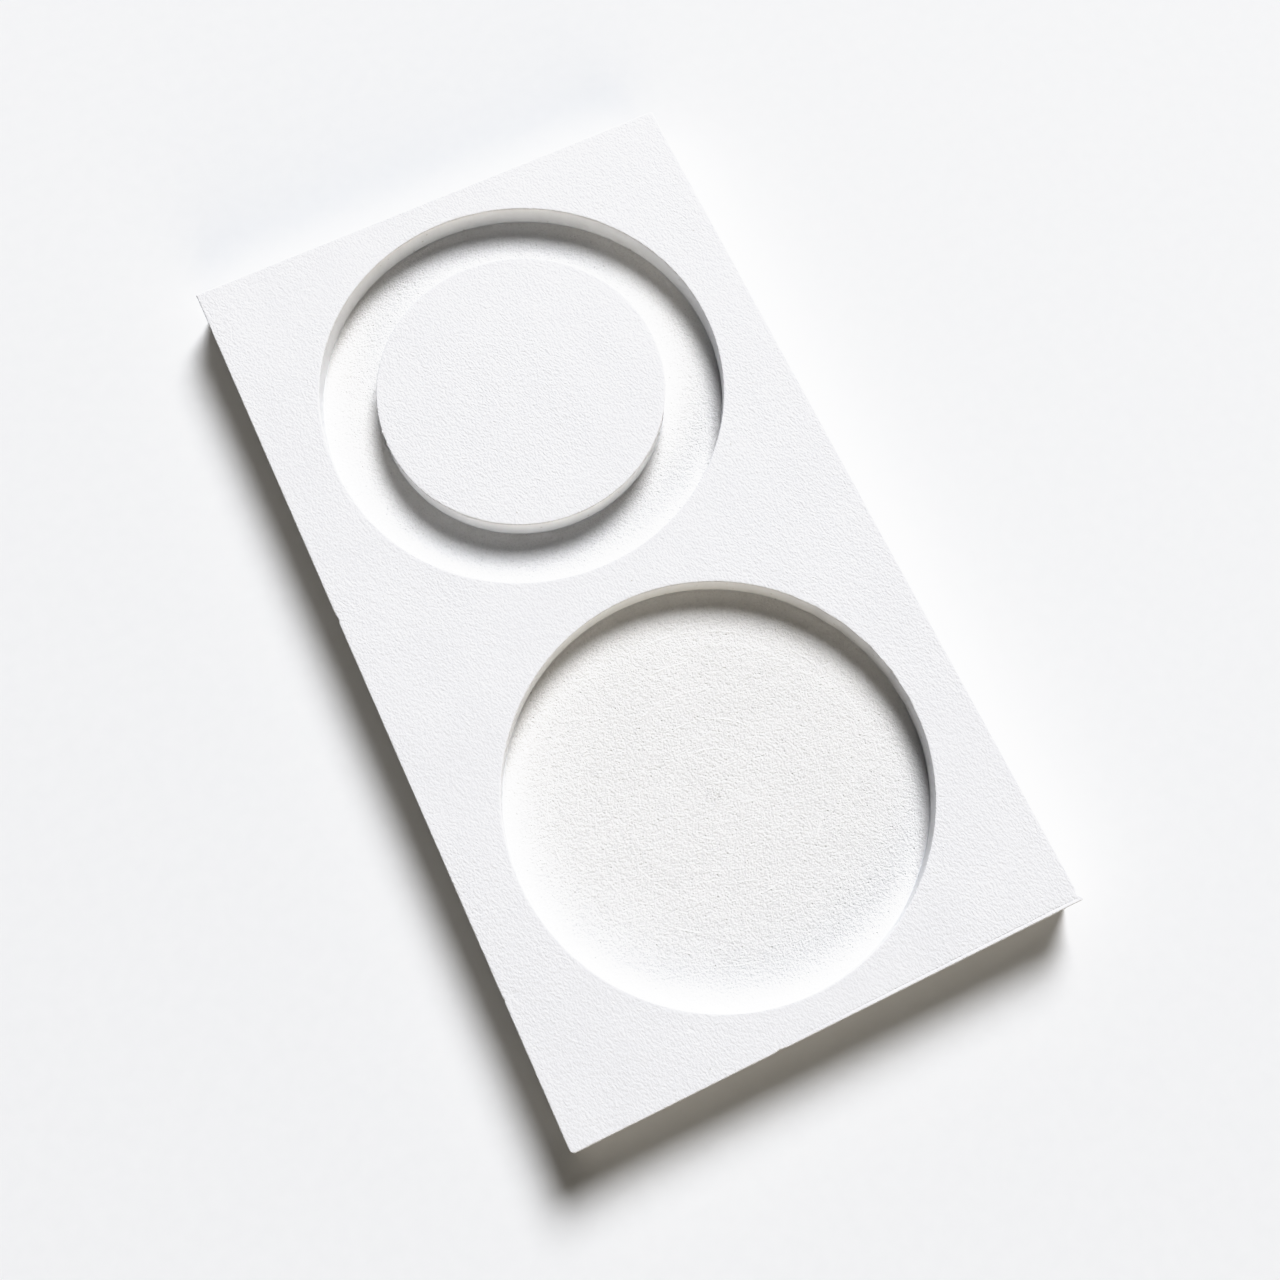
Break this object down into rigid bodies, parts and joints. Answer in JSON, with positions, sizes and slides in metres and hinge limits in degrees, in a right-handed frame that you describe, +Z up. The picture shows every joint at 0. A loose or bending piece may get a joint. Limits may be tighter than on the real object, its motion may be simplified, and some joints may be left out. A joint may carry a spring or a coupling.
{
  "type": "mixing palette",
  "caption": "Flat white rectangular slab with a shallow plain round well and, in line with it, a ring-shaped well round a raised island, for mixing paint.",
  "frame": {"origin": "the middle of the underside", "axes": "+X across the board, +Y along the board towards the well with the island, +Z up, out of the wells"},
  "size_m": [0.101, 0.18, 0.01],
  "materials": {
    "cut_foam": "milled closed-cell foam, matt and granular",
    "board_skin": "matt, finely pebbled"
  },
  "bodies": {
    "root": {"foam_core": "cut_foam", "top_skin": "board_skin", "island_skin": "board_skin", "base_skin": "board_skin"}
  },
  "joints": []
}
